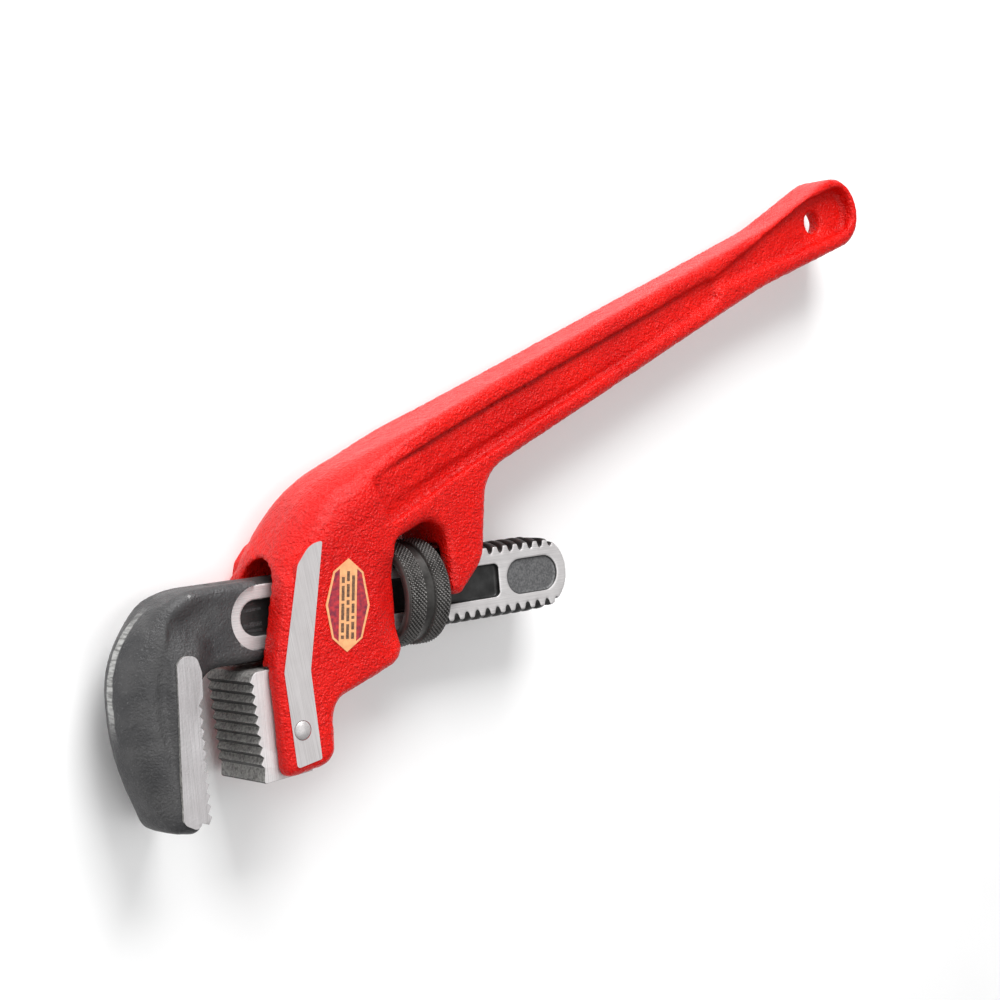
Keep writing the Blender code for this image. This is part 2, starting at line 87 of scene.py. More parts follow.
# Shank: its thread, and the flats, recess and oval panel on its sides
PITCH = 4.85
BAR_START = -80.0
BAR_MARGIN = 4.0
BAR_STEP = 0.3
BAR_SIDES = 80
SHANK_HALF = 7.0
CREST_RADIUS = 14.07
ROOT_RADIUS = 11.9
BLANK_RADIUS = 13.0
RIDGE_BASE = 3.9
RIDGE_CREST = 1.9
THREAD_START = -38.0
THREAD_TURN = math.radians(2.5)
THREAD_RUN_IN = 0.4
SHANK_END = 73.8
SHANK_END_RADIUS = 13.5
FLAT_CENTRE = -65.5
FLAT_RADIUS = 11.0
FLAT_CUT = 0.2
RECESS_HALF = 6.0
RECESS_END = 40.8
RECESS_FLOOR = 5.0
OVAL_CENTRE = 57.0
OVAL_STRAIGHT = 11.2
OVAL_RADIUS = 6.6
OVAL_FLOOR = 6.1

# Jaws
JAW_HALF = 13.85
HOOK_HALF = 11.5
HOOK_RIM = 4.0
HOOK_CROWN = 13.0
HOOK_DISH = 1.2
HOOK_SWELL = 2.2
NECK_HALF = 9.4
HOOK_TOOTH_PITCH = 3.54
HOOK_TOOTH_DEPTH = 1.3
HOOK_TEETH = 11
HOOK_FIRST_TIP = (-92.9, -26.0)
HEEL_TOOTH_PITCH = 3.48
HEEL_TOOTH_DEPTH = 1.3
HEEL_TEETH = 9
HEEL_FIRST_TIP = (-74.2, -20.2)
HEEL_LEAN = 0.06
HEEL_BACK = -52.5
HOOK_TIP_SHARE = 0.35
HEEL_TIP_SHARE = 0.62
STRIP_BEVEL = 0.22
HEEL_BEVEL = 0.2
PIN_CENTRE = (-59.1, -38.2)
PIN_BORE = 3.35

# Where the hook's features come and go, as (start, end) inwards from its rim, along X and along Y
VALLEY_NEAR = (2, 9)
VALLEY_FAR = (9, 23)
VALLEY_ALONG = (-80, -94)
CROWN_ALONG = (-98, -114)
HEAD_ALONG = (-82, -100)
SWELL_TIP = (-115, -104)
SWELL_NECK = (-84, -93)
SWELL_DOWN = (4, -10)

# Casting
SIDE = 19.8
PAD = 20.0
PAD_DEPTH = 5.0
RIM = 3.4
SHOULDER_REACH = [(0, 3.4), (10, 5.5), (16, 9.0), (24, 12.0), (34, 14.0)]
SHOULDER_DROP = [(-4, 0.0), (8, 6.0), (14, 10.0), (22, 12.5), (30, 14.0)]
SHOULDER_FADE = (-30, 12)
SCOOP = 3.2
SCOOP_ALONG = (-25, -12)
SCOOP_ACROSS = (9, 18)
SLOT_HALF = 10.0
SLOT_TOP = 18.9
SLOT_FLOOR = -16.6
SLOT_CORNER = 1.5
SLOT_SPAN = (-90, -5)
SEAT_GAP = 0.3
SEAT_HALF = JAW_HALF + SEAT_GAP
SEAT_TOP = SLOT_FLOOR + 0.4
SEAT_BOTTOM = -70
SADDLE_SPAN = (5, 60)
SADDLE_BOTTOM = -20
SADDLE_HALF = 7.8
SADDLE_TOP = 16.5
HOLE_CENTRE = (232.6, 131.0)
HOLE_RADIUS = 4.8
COIL_CENTRE = -44.0
POCKET_RADIUS = 4.2
POCKET_TOP = 25.0
RIVET_X = -19.5
RIVET_BORE = 1.8
RIVET_TOP = 26.0
BORE_START = 10.0

# Planes that cut the blank of the casting, so that its sides can be bent there
HOUSING_SLICES = list(range(-64, 24, 3))
HANDLE_SLICES = list(range(28, 256, 12))
SHOULDER_SLICES = range(-15, 52, 3)

# Softening of the casting towards the grip, as (start, end, rounds)
HANDLE_SOFTENING = [(-15, 10, 2), (100, 165, 24)]
SOFT_STEPS = 10

# Voxel sizes of the remeshed forgings and casting
CASTING_VOXEL = 0.85
HEAD_VOXEL = 0.5
SHANK_VOXEL = 0.45

# Unevenness of the casting and of the hook's head, as (size, depth)
CASTING_GRAIN = (2.2, 0.16)
HEAD_GRAIN = (1.6, 0.06)

# Corners of the outlines, as (x, y, radius)
CASTING = [
    (-66.3, -54.0, 3.6),
    (-67.3, -18.0, 9.0),
    (-58.4, 18.6, 20.0),
    (-44.7, 41.4, 58.0),
    (200.0, 129.4, 60.0),
    (249.2, 154.7, 14.0),
    (261.4, 124.9, 14.6),
    (193.0, 103.8, 60.0),
    (34.9, 40.1, 16.0),
    (30.3, 9.0, 13.0),
    (13.2, -6.8, 3.6),
    (12.6, 28.5, 9.0),
    (-12.6, 20.4, 4.5),
    (-13.2, -20.9, 7.5),
    (-44.8, -31.2, 8.0),
    (-45.4, -51.4, 7.0),
]
TOP_CORNERS = CASTING[:5]
TOP_CLOSING = (200, 0, 1)
TOP_LOWEST = -10
PAD_CORNERS = [
    (-62.4, -50.6, 1.2),
    (-64.4, -18.0, 4.0),
    (-55.6, 17.0, 5.0),
    (-50.0, 23.3, 8.0),
    (-44.9, 23.9, 0.6),
    (-53.9, -18.8, 4.0),
    (-52.3, -49.0, 0.8),
]
CHANNEL = [
    (-14.0, 26.2, 2.0),
    (-21.0, 43.0, 3.0),
    (165.0, 109.6, 4.0),
    (165.0, 99.2, 4.0),
]
TERRACE = [
    (-15.5, 32.6, 1.0),
    (-16.8, 42.6, 1.0),
    (150.0, 102.4, 3.0),
    (153.0, 94.8, 3.0),
]
GRIP_DISH = [
    (158.0, 102.0, 1.4),
    (158.0, 105.5, 1.4),
    (224.0, 139.8, 10.0),
    (250.0, 147.5, 8.5),
    (253.5, 128.5, 8.5),
    (226.0, 120.8, 10.0),
]
HOOK_BODY = [
    (-62.0, 12.6, 4.2),
    (-117.8, 12.6, 33.0),
    (-119.2, -39.6, 76.0),
    (-108.0, -65.0, 7.6),
    (-94.6, -67.2, 4.2),
    (-94.6, -14.5, 14.0),
    (-62.0, -14.5, 4.2),
]
HOOK_OUTER_CORNERS = HOOK_BODY[:5]
HOOK_OUTER_END = -70
STRIP_BACK = [
    (-91.9, -14.0, 1.0),
    (-93.4, -8.6, 3.0),
    (-100.6, -7.4, 3.6),
    (-103.4, -62.0, 3.0),
    (-97.0, -65.6, 2.0),
]

# Plain outline points, as (x, y)
STRIP_CORNER = (-92.3, -22.0)
HEEL_UPPER_EDGE = [(HEEL_BACK, -17.0), (-70.4, -17.0), (-71.8, -17.2), (-72.6, -17.7)]
HEEL_LOWER_EDGE = [(-71.8, -54.0), (-71.3, -54.6), (HEEL_BACK, -53.6)]
LABEL_CORNERS = [
    (0, 15.9),
    (6.2, 11.3),
    (9.1, 0),
    (6.2, -11.3),
    (0, -15.9),
    (-6.2, -11.3),
    (-9.1, 0),
    (-6.2, 11.3),
]
LABEL_PANEL = [(3.6, 12.3), (5.5, 10.9), (8.2, 0), (5.5, -10.9), (3.6, -12.3)]

# Label: its place, its three printed layers as (low, high), and its columns of bars
LABEL_CENTRE = (-36.7, 1.0)
LABEL_LEAN = math.radians(-7.1)
LABEL_BASE = SIDE + 0.03
CARD_LAYER = (0.0, 0.17)
PANEL_LAYER = (0.1, 0.185)
WORD_LAYER = (0.1, 0.195)
WORD_COLUMNS = (-2.1, 0.0, 2.1)
WORD_START = -11.5
WORD_HALF = 0.6
WORD_GAP = 1.0
LABEL_WORDS = [(1.2, 3.2, 5.6, 5.0, 2.0), (5.0, 4.6, 1.6, 4.4, 3.4), (2.2, 2.6, 1.0, 3.2, 8.6)]

# Heights along X
THICKNESS = [
    (-70, SIDE),
    (-24, SIDE),
    (-12, 18.4),
    (2, 16.2),
    (16, 14.2),
    (34, 12.8),
    (60, 12.0),
    (200, 10.2),
    (260, 9.8),
]
CHANNEL_FLOOR = [(-22, 17.6), (0, 13.4), (20, 10.0), (60, 8.4), (170, 7.6)]
TERRACE_TOP = [(-22, 17.3), (-12, 16.2), (0, 14.5), (20, 11.2), (60, 9.6), (155, 8.2)]
GRIP_FLOOR = [(155, 8.4), (200, 6.8), (224, 4.0), (256, 3.8)]

# Studio: lights as (name, offset from the nut, size, power), with lengths in metres
FLOOR_HALF = 4.0
WORLD_STRENGTH = 0.28
LIGHTS = [
    ("key", (0.05, 1.0, 0.6), 0.7, 19),
    ("top", (0.1, -0.2, 1.5), 1.4, 11),
    ("side", (-1.1, 0.1, 0.35), 0.8, 5),
]

# Camera: its place from the nut in metres, and its right, up and back directions
CAMERA_OFFSET = (-0.4145, 0.0669, 0.5663)
CAMERA_AXES = (
    (0.76839, -0.08028, 0.63492),
    (0.09564, 0.99536, 0.0101),
    (-0.63279, 0.05296, 0.77251),
)
CAMERA_SENSOR = 36
CAMERA_LENS = 70.47
CAMERA_SHIFT = (0.001, 0.002)
CAMERA_NEAR = 0.01


# ---------------------------------------------------------------- shapes


def fillet(corners):
    """Closed outline through (x, y, radius) corners, each of them rounded by an arc."""
    points = []
    for index, (x, y, radius) in enumerate(corners):
        corner = Vector((x, y))
        before = (Vector(corners[index - 1][:2]) - corner).normalized()
        after = (Vector(corners[(index + 1) % len(corners)][:2]) - corner).normalized()
        half = before.angle(after) / 2
        centre = corner + (before + after).normalized() * radius / math.sin(half)
        start = corner + before * radius / math.tan(half) - centre
        turn = math.pi - 2 * half
        if start.to_3d().cross(corner.to_3d() - centre.to_3d()).z < 0:
            turn = -turn
        steps = max(1, math.ceil(abs(turn) / ARC_STEP))
        for step in range(steps + 1):
            swung = Matrix.Rotation(turn * step / steps, 2) @ start
            points.append(tuple(centre + swung))
    return points


def add_object(name, mesh):
    obj = bpy.data.objects.new(name, mesh)
    bpy.context.scene.collection.objects.link(obj)
    return obj


def bake(obj):
    """Replaces an object by its evaluated mesh, in the same place."""
    bpy.context.view_layer.update()
    evaluated = obj.evaluated_get(bpy.context.evaluated_depsgraph_get())
    mesh = bpy.data.meshes.new_from_object(evaluated)
    mesh.transform(obj.matrix_world)
    work = bmesh.new()
    work.from_mesh(mesh)
    bmesh.ops.remove_doubles(work, verts=work.verts, dist=WELD * MM)
    bmesh.ops.recalc_face_normals(work, faces=work.faces)
    work.to_mesh(mesh)
    work.free()
    name = obj.name
    bpy.data.objects.remove(obj)
    return add_object(name, mesh)


def plate(name, outline, low, high, rim=0.0):
    """Solid plate of an outline in XY, from height low to high, with its rim rounded."""
    curve = bpy.data.curves.new(name, "CURVE")
    curve.dimensions = "2D"
    curve.fill_mode = "BOTH"
    curve.extrude = ((high - low) / 2 - rim) * MM
    curve.bevel_depth = rim * MM
    curve.bevel_resolution = RIM_STEPS
    curve.offset = -rim * MM
    spline = curve.splines.new("POLY")
    spline.points.add(len(outline) - 1)
    for point, (x, y) in zip(spline.points, outline):
        point.co = (x * MM, y * MM, 0, 1)
    spline.use_cyclic_u = True
    obj = add_object(name, curve)
    obj.location.z = (low + high) / 2 * MM
    return bake(obj)


def block(name, low, high):
    """Box between two opposite corners."""
    middle = Vector([(a + b) / 2 * MM for a, b in zip(low, high)])
    size = Vector([(b - a) * MM for a, b in zip(low, high)])
    mesh = bpy.data.meshes.new(name)
    work = bmesh.new()
    bmesh.ops.create_cube(work, size=1, matrix=Matrix.LocRotScale(middle, None, size))
    work.to_mesh(mesh)
    work.free()
    return add_object(name, mesh)


def rod(name, start, end, radius):
    """Cylinder between two points."""
    start, end = Vector(start) * MM, Vector(end) * MM
    turn = (end - start).to_track_quat("Z", "Y")
    mesh = bpy.data.meshes.new(name)
    work = bmesh.new()
    bmesh.ops.create_cone(
        work,
        cap_ends=True,
        segments=ROD_SIDES,
        radius1=radius * MM,
        radius2=radius * MM,
        depth=(end - start).length,
        matrix=Matrix.LocRotScale((start + end) / 2, turn, None),
    )
    work.to_mesh(mesh)
    work.free()
    return add_object(name, mesh)


def combine(target, tools, operation):
    """Cuts, joins or intersects the target with each tool, and removes the tools."""
    for tool in tools:
        modifier = target.modifiers.new(tool.name, "BOOLEAN")
        modifier.operation = operation
        modifier.solver = "EXACT"
        modifier.object = tool
    target = bake(target)
    for tool in tools:
        bpy.data.objects.remove(tool)
    return target


def remesh(obj, voxel, smoothing):
    """Even mesh of the same solid, with its edges softened as a casting's or a forging's are."""
    modifier = obj.modifiers.new("remesh", "REMESH")
    modifier.mode = "VOXEL"
    modifier.voxel_size = voxel * MM
    modifier = obj.modifiers.new("soften", "SMOOTH")
    modifier.factor = SMOOTHING
    modifier.iterations = smoothing
    return bake(obj)


def soften(obj, start, end, rounds):
    """Smooths a mesh beyond X = end, and less and less back to X = start."""
    group = obj.vertex_groups.new(name="soft")
    shares = ramp(vertices_of(obj)[:, 0], start, end)
    for step in range(1, SOFT_STEPS + 1):
        chosen = np.nonzero(np.ceil(shares * SOFT_STEPS) == step)[0]
        group.add(chosen.tolist(), step / SOFT_STEPS, "REPLACE")
    modifier = obj.modifiers.new("soften", "SMOOTH")
    modifier.factor = SMOOTHING
    modifier.iterations = rounds
    modifier.vertex_group = group.name
    return bake(obj)


def bevelled(obj, width):
    modifier = obj.modifiers.new("bevel", "BEVEL")
    modifier.width = width * MM
    modifier.segments = 2
    modifier.limit_method = "ANGLE"
    modifier.angle_limit = BEVEL_ANGLE
    return bake(obj)


def slice_mesh(obj, stations, normal):
    """Adds vertices where the planes at these stations cross a mesh, so that it can be bent there."""
    work = bmesh.new()
    work.from_mesh(obj.data)
    for station in stations:
        bmesh.ops.bisect_plane(
            work,
            geom=work.verts[:] + work.edges[:] + work.faces[:],
            dist=ON_PLANE,
            plane_co=Vector(normal) * station * MM,
            plane_no=normal,
        )
    bmesh.ops.triangulate(work, faces=work.faces[:])
    work.to_mesh(obj.data)
    work.free()


def along(stations, x):
    """Value at x of a line through (x, value) stations."""
    return np.interp(x, [at for at, _ in stations], [value for _, value in stations])


def smooth_step(value):
    value = np.clip(value, 0.0, 1.0)
    return value * value * (3 - 2 * value)


def ramp(value, start, end):
    """Smooth step from 0 at start to 1 at end, which may lie below start."""
    return smooth_step((value - start) / (end - start))


def distance_to_line(points, line):
    """Distance from each point to an open line through the given corners."""
    starts = np.array(line[:-1])
    spans = np.array(line[1:]) - starts
    offsets = points[:, None, :] - starts
    share = np.clip((offsets * spans).sum(axis=2) / (spans**2).sum(axis=1), 0, 1)
    return np.linalg.norm(offsets - share[:, :, None] * spans, axis=2).min(axis=1)


def vertices_of(obj):
    """Vertices of a piece in millimetres, as an array."""
    flat = np.empty(len(obj.data.vertices) * 3)
    obj.data.vertices.foreach_get("co", flat)
    return flat.reshape(-1, 3) / MM


def set_vertices(obj, points):
    obj.data.vertices.foreach_set("co", (points * MM).ravel())
    obj.data.update()


def half_thickness(points, top_line):
    """Half thickness of the casting.

    It tapers towards the grip, is round-shouldered on top and is scooped beside the nut.
    """
    x, y = points[:, 0], points[:, 1]
    half = along(THICKNESS, x)
    share = np.maximum(1 - distance_to_line(points[:, :2], top_line) / along(SHOULDER_REACH, y), 0)
    fade = 1 - ramp(x, *SHOULDER_FADE)
    half -= fade * along(SHOULDER_DROP, y) * (1 - np.sqrt(1 - share**2))
    scoop = SCOOP * ramp(x, *SCOOP_ALONG) * (1 - ramp(np.abs(y), *SCOOP_ACROSS))
    return half - np.where(x < 0, scoop, 0)


def follow(obj, heights, chosen):
    """Moves the chosen vertices of a plate onto a height that varies along X."""
    slice_mesh(obj, [station for station, _ in heights], (1, 0, 0))
    points = vertices_of(obj)
    picked = chosen(points[:, 2])
    points[picked, 2] = along(heights, points[picked, 0])
    set_vertices(obj, points)
    return obj


def mirrored(obj):
    """Second copy of a one-sided tool, for the other side of the wrench."""
    copy = add_object(obj.name + "_back", obj.data.copy())
    copy.data.transform(Matrix.Diagonal((1, 1, -1, 1)))
    copy.data.flip_normals()
    return copy


def both_sides(tool):
    return [tool, mirrored(tool)]


def across_shank(name, outline, start, end):
    """Solid of an outline in ZY, run along X from start to end."""
    tool = plate(name, outline, start, end)
    tool.data.transform(Matrix.Rotation(math.pi / 2, 4, "Y"))
    return tool


def roughened(obj, size, depth):
    """Moves each vertex along its normal by smooth noise."""
    flat = np.empty(len(obj.data.vertices) * 3)
    obj.data.vertex_normals.foreach_get("vector", flat)
    points = vertices_of(obj)
    lift = np.array([noise.noise(Vector(point) / size) for point in points])
    set_vertices(obj, points + flat.reshape(-1, 3) * lift[:, None] * depth)
    return obj


# ---------------------------------------------------------------- casting


def casting_blank():
    """Solid of the casting's outline, bent to its thickness."""
    blank = plate("casting", fillet(CASTING), -SIDE, SIDE, RIM)
    slice_mesh(blank, HOUSING_SLICES + HANDLE_SLICES, (1, 0, 0))
    slice_mesh(blank, SHOULDER_SLICES, (0, 1, 0))
    top_line = [point for point in fillet(TOP_CORNERS + [TOP_CLOSING]) if point[1] > TOP_LOWEST]
    points = vertices_of(blank)
    points[:, 2] *= half_thickness(points, top_line) / SIDE
    set_vertices(blank, points)
    return blank


def bore(name, centre, radius):
    """Cutter for a hole through the thickness."""
    return rod(name, (*centre, -TOOL_REACH), (*centre, TOOL_REACH), radius)


def casting_cutters():
    """Cutters for the shank's slot and saddle, the heel jaw's seat, and the bores."""
    slot_round = SLOT_HALF - ROUND_MARGIN
    slot_corners = [
        (-SLOT_HALF, SLOT_FLOOR, SLOT_CORNER),
        (SLOT_HALF, SLOT_FLOOR, SLOT_CORNER),
        (SLOT_HALF, SLOT_TOP, slot_round),
        (-SLOT_HALF, SLOT_TOP, slot_round),
    ]
    seat_low = (SLOT_SPAN[0], SEAT_BOTTOM, -SEAT_HALF)
    seat_high = (HEEL_BACK + SEAT_GAP, SEAT_TOP, SEAT_HALF)
    saddle_low = (SADDLE_SPAN[0], SADDLE_BOTTOM, -SADDLE_HALF)
    saddle_high = (SADDLE_SPAN[1], SADDLE_TOP, SADDLE_HALF)
    coil_bottom, coil_top = (COIL_CENTRE, BORE_START, 0), (COIL_CENTRE, POCKET_TOP, 0)
    rivet_bottom, rivet_top = (RIVET_X, BORE_START, 0), (RIVET_X, RIVET_TOP, 0)
    return [
        across_shank("slot", fillet(slot_corners), *SLOT_SPAN),
        block("heel_seat", seat_low, seat_high),
        block("saddle", saddle_low, saddle_high),
        bore("hang_hole", HOLE_CENTRE, HOLE_RADIUS),
        bore("pin_bore", PIN_CENTRE, PIN_BORE),
        rod("coil_pocket", coil_bottom, coil_top, POCKET_RADIUS),
        rod("rivet_bore", rivet_bottom, rivet_top, RIVET_BORE),
    ]


def hollow(name, corners, floor):
    """Cutter for a hollow in the side, whose floor varies along X."""
    return follow(plate(name, fillet(corners), 0, TOOL_REACH), floor, lambda z: z < 5)


def build_casting():
    """Handle and housing: one blank, hollowed, given its raised strips, cut and softened."""
    casting = casting_blank()
    hollows = both_sides(hollow("channel", CHANNEL, CHANNEL_FLOOR))
    hollows += both_sides(hollow("grip_dish", GRIP_DISH, GRIP_FLOOR))
    casting = combine(casting, hollows, "DIFFERENCE")
    terrace = plate("terrace", fillet(TERRACE), -1, TOOL_REACH)
    terrace = follow(terrace, TERRACE_TOP, lambda z: z > 0)
    casting = combine(casting, both_sides(terrace), "UNION")
    casting = combine(casting, casting_cutters(), "DIFFERENCE")
    casting = remesh(casting, CASTING_VOXEL, 4)
    for start, end, rounds in HANDLE_SOFTENING:
        casting = soften(casting, start, end, rounds)
    return roughened(casting, *CASTING_GRAIN)


def build_pad(name, facing):
    """Ground pad of one side: its face is bare steel (surface 0) and its rim is painted (surface 1)."""
    low, high = sorted((facing * (PAD - PAD_DEPTH), facing * PAD))
    pad = plate(name, fillet(PAD_CORNERS), low, high)
    pad = combine(pad, [bore("bore", PIN_CENTRE, PIN_BORE)], "DIFFERENCE")
    for face in pad.data.polygons:
        face.material_index = int(abs(face.normal.z) < 0.5)
    return pad


# ---------------------------------------------------------------- jaws


def tooth_line(first_tip, lean, pitch, depth, count, tip_share):
    """Points of a row of hooked teeth that runs towards -Y.

    The depth is signed: the roots lie that way from the tips along X.
    """
    points = []
    for index in range(count):
        tip_y = first_tip[1] - index * pitch
        tip_x = first_tip[0] + lean * index * pitch
        points.append((tip_x + depth, tip_y + tip_share * pitch))
        points.append((tip_x, tip_y))
    last_x, last_y = points[-1]
    points.append((last_x + depth, last_y - (1 - tip_share) * pitch))
    return points


def threaded_bar():
    """Round bar with a right-hand thread and a plain end towards the jaw, as a closed grid."""
    sides = BAR_SIDES
    stations = np.arange(BAR_START, SHANK_END + BAR_MARGIN, BAR_STEP)
    angles = np.arange(sides) * 2 * math.pi / sides
    turned = (angles - THREAD_TURN) % (2 * math.pi)
    phase = stations[:, None] - THREAD_START - PITCH * turned[None, :] / (2 * math.pi)
    offset = np.abs((phase + PITCH / 2) % PITCH - PITCH / 2)
    ridge = smooth_step((RIDGE_BASE / 2 - offset) / ((RIDGE_BASE - RIDGE_CREST) / 2))
    radius = ROOT_RADIUS + (CREST_RADIUS - ROOT_RADIUS) * ridge
    plain = stations[:, None] < THREAD_START + THREAD_RUN_IN
    radius = np.where(plain, BLANK_RADIUS, radius)
    points = []
    for row, x in enumerate(stations):
        for column, angle in enumerate(angles):
            reach = radius[row, column]
            points.append((x * MM, reach * math.cos(angle) * MM, reach * math.sin(angle) * MM))
    faces = []
    for row in range(len(stations) - 1):
        for column in range(sides):
            beside = (column + 1) % sides
            lower, upper = row * sides, (row + 1) * sides
            faces.append((lower + column, lower + beside, upper + beside, upper + column))
    last = (len(stations) - 1) * sides
    faces.append(tuple(reversed(range(sides))))
    faces.append(tuple(range(last, last + sides)))
    mesh = bpy.data.meshes.new("jaw_shank")
    mesh.from_pydata(points, [], faces)
    return bake(add_object("jaw_shank", mesh))


def recess_tool():
    """Cutter for the long recess, round at the jaw's end and square at the other."""
    start = FLAT_CENTRE - RECESS_HALF + 0.2
    outline = [
        (start, RECESS_HALF, RECESS_HALF - ROUND_MARGIN),
        (start, -RECESS_HALF, RECESS_HALF - ROUND_MARGIN),
        (RECESS_END, -RECESS_HALF, 2.0),
        (RECESS_END, RECESS_HALF, 2.0),
    ]
    return plate("recess", fillet(outline), RECESS_FLOOR, JAW_TOOL_REACH)


def oval_tool():
    """Cutter for the shallow oval panel at the shank's free end."""
    half = OVAL_STRAIGHT / 2 + OVAL_RADIUS
    corners = [
        (OVAL_CENTRE + across * half, up * OVAL_RADIUS, OVAL_RADIUS - 0.01)
        for across, up in ((1, 1), (-1, 1), (-1, -1), (1, -1))
    ]
    return plate("oval", fillet(corners), OVAL_FLOOR, JAW_TOOL_REACH)


def build_shank():
    """Threaded bar with flat sides, a round end and hollows. It starts inside the head."""
    lower_half = [
        (FLAT_CENTRE - 20, -20, 1),
        (SHANK_END - 22, -20, 1),
        (SHANK_END - 15, -SHANK_END_RADIUS, 1),
        (SHANK_END, -SHANK_END_RADIUS, SHANK_END_RADIUS - ROUND_MARGIN),
    ]
    upper_half = [(x, -y, radius) for x, y, radius in reversed(lower_half)]
    flats = plate("flats", fillet(lower_half + upper_half), -SHANK_HALF, SHANK_HALF)
    shank = combine(threaded_bar(), [flats], "INTERSECT")
    shank = combine(shank, both_sides(recess_tool()) + both_sides(oval_tool()), "DIFFERENCE")
    return remesh(shank, SHANK_VOXEL, 1)


def forged_head(head):
    """Moves the vertices of a flat head into its forged form.

    It is crowned along its outer edge, dished a little inside that edge, swollen beside the strip
    of teeth, and thinner at the neck.
    """
    points = vertices_of(head)
    x, y, z = points.T.copy()
    outer_line = [point for point in fillet(HOOK_OUTER_CORNERS) if point[0] < HOOK_OUTER_END]
    inside = distance_to_line(points[:, :2], outer_line)
    valley = ramp(inside, *VALLEY_NEAR) * (1 - ramp(inside, *VALLEY_FAR))
    valley *= ramp(x, *VALLEY_ALONG)
    crown = HOOK_CROWN - np.sqrt(np.maximum(HOOK_CROWN**2 - z**2, 0))
    points[:, 0] += crown * ramp(x, *CROWN_ALONG)
    half = NECK_HALF + (HOOK_HALF - NECK_HALF) * ramp(x, *HEAD_ALONG)
    swell = ramp(x, *SWELL_TIP) * ramp(x, *SWELL_NECK) * ramp(y, *SWELL_DOWN)
    points[:, 2] = z * (half - HOOK_DISH * valley + HOOK_SWELL * swell) / HOOK_HALF
    set_vertices(head, points)


def flat_tool():
    """Cutter for the milled flat at the neck, round towards the head."""
    flat = [
        (FLAT_CENTRE, FLAT_RADIUS, 0.1),
        (FLAT_CENTRE - FLAT_RADIUS, FLAT_RADIUS, FLAT_RADIUS - ROUND_MARGIN),
        (FLAT_CENTRE - FLAT_RADIUS, -FLAT_RADIUS, FLAT_RADIUS - ROUND_MARGIN),
        (FLAT_CENTRE, -FLAT_RADIUS, 0.1),
        (-50, -30, 1),
        (-50, 30, 1),
    ]
    return plate("milled_flat", fillet(flat), SHANK_HALF - FLAT_CUT, JAW_TOOL_REACH)


def build_head():
    head = plate("jaw_head", fillet(HOOK_BODY), -HOOK_HALF, HOOK_HALF, HOOK_RIM)
    head = remesh(head, HEAD_VOXEL, 2)
    forged_head(head)
    head = combine(head, both_sides(flat_tool()) + both_sides(recess_tool()), "DIFFERENCE")
    return roughened(head, *HEAD_GRAIN)


def build_tooth_strip():
    """Hard strip of the hook, with its row of teeth."""
    depth = -HOOK_TOOTH_DEPTH
    teeth = tooth_line(HOOK_FIRST_TIP, 0.0, HOOK_TOOTH_PITCH, depth, HOOK_TEETH, HOOK_TIP_SHARE)
    back = fillet(STRIP_BACK)
    outline = [point for point in back if point[0] < -91.95 or point[1] > -20]
    strip = plate("jaw_teeth", outline + teeth[::-1] + [STRIP_CORNER], -JAW_HALF, JAW_HALF)
    return bevelled(strip, STRIP_BEVEL)


def build_heel():
    """Heel jaw: a block with its row of teeth leaning a little."""
    depth = HEEL_TOOTH_DEPTH
    teeth = tooth_line(HEEL_FIRST_TIP, HEEL_LEAN, HEEL_TOOTH_PITCH, depth, HEEL_TEETH, HEEL_TIP_SHARE)
    outline = HEEL_UPPER_EDGE + teeth + HEEL_LOWER_EDGE
    heel = plate("heel_block", outline, -JAW_HALF, JAW_HALF)
    return bevelled(heel, HEEL_BEVEL)


# ---------------------------------------------------------------- nut and label


def triangle_wave(value):
    return np.abs((value % 1.0) * 2 - 1)


def nut_profile():
    """Closed profile of the nut's ring, as arrays of x and radius."""
    groove_start, groove_end = NUT_GROOVE
    outer = [
        (-NUT_HALF_WIDTH, NUT_RADIUS - NUT_CHAMFER),
        (-NUT_HALF_WIDTH + NUT_CHAMFER, NUT_RADIUS),
        (groove_start - 0.8, NUT_RADIUS),
        (groove_start, NUT_GROOVE_RADIUS),
        (groove_end, NUT_GROOVE_RADIUS),
        (groove_end + 0.3, NUT_RADIUS),
        (NUT_HALF_WIDTH - NUT_CHAMFER, NUT_RADIUS),
        (NUT_HALF_WIDTH, NUT_RADIUS - NUT_CHAMFER),
    ]
    across = np.linspace(-NUT_HALF_WIDTH, NUT_HALF_WIDTH, NUT_STATIONS)
    profile = [(x, along(outer, x)) for x in across]
    profile += [(NUT_HALF_WIDTH, NUT_BORE + 1), (NUT_HALF_WIDTH - 1, NUT_BORE)]
    profile += [(1 - NUT_HALF_WIDTH, NUT_BORE), (-NUT_HALF_WIDTH, NUT_BORE + 1)]
    return np.array(profile).T


def knurled_radius(x, radius, turns):
    """Radius at each place of the profile and each share of a turn, with the diamonds pressed in."""
    banded = radius > NUT_RADIUS - 0.3
    banded = banded * smooth_step((NUT_HALF_WIDTH - KNURL_MARGIN - np.abs(x)) / KNURL_FADE)
    around = turns[None, :] * KNURL_AROUND
    slant = x[:, None] / KNURL_PITCH
    knurl = np.minimum(triangle_wave(around + slant), triangle_wave(around - slant))
    dip = KNURL_DEPTH * (1 - np.clip(knurl * KNURL_SLOPE, 0, 1)) * banded[:, None]
    return radius[:, None] - dip


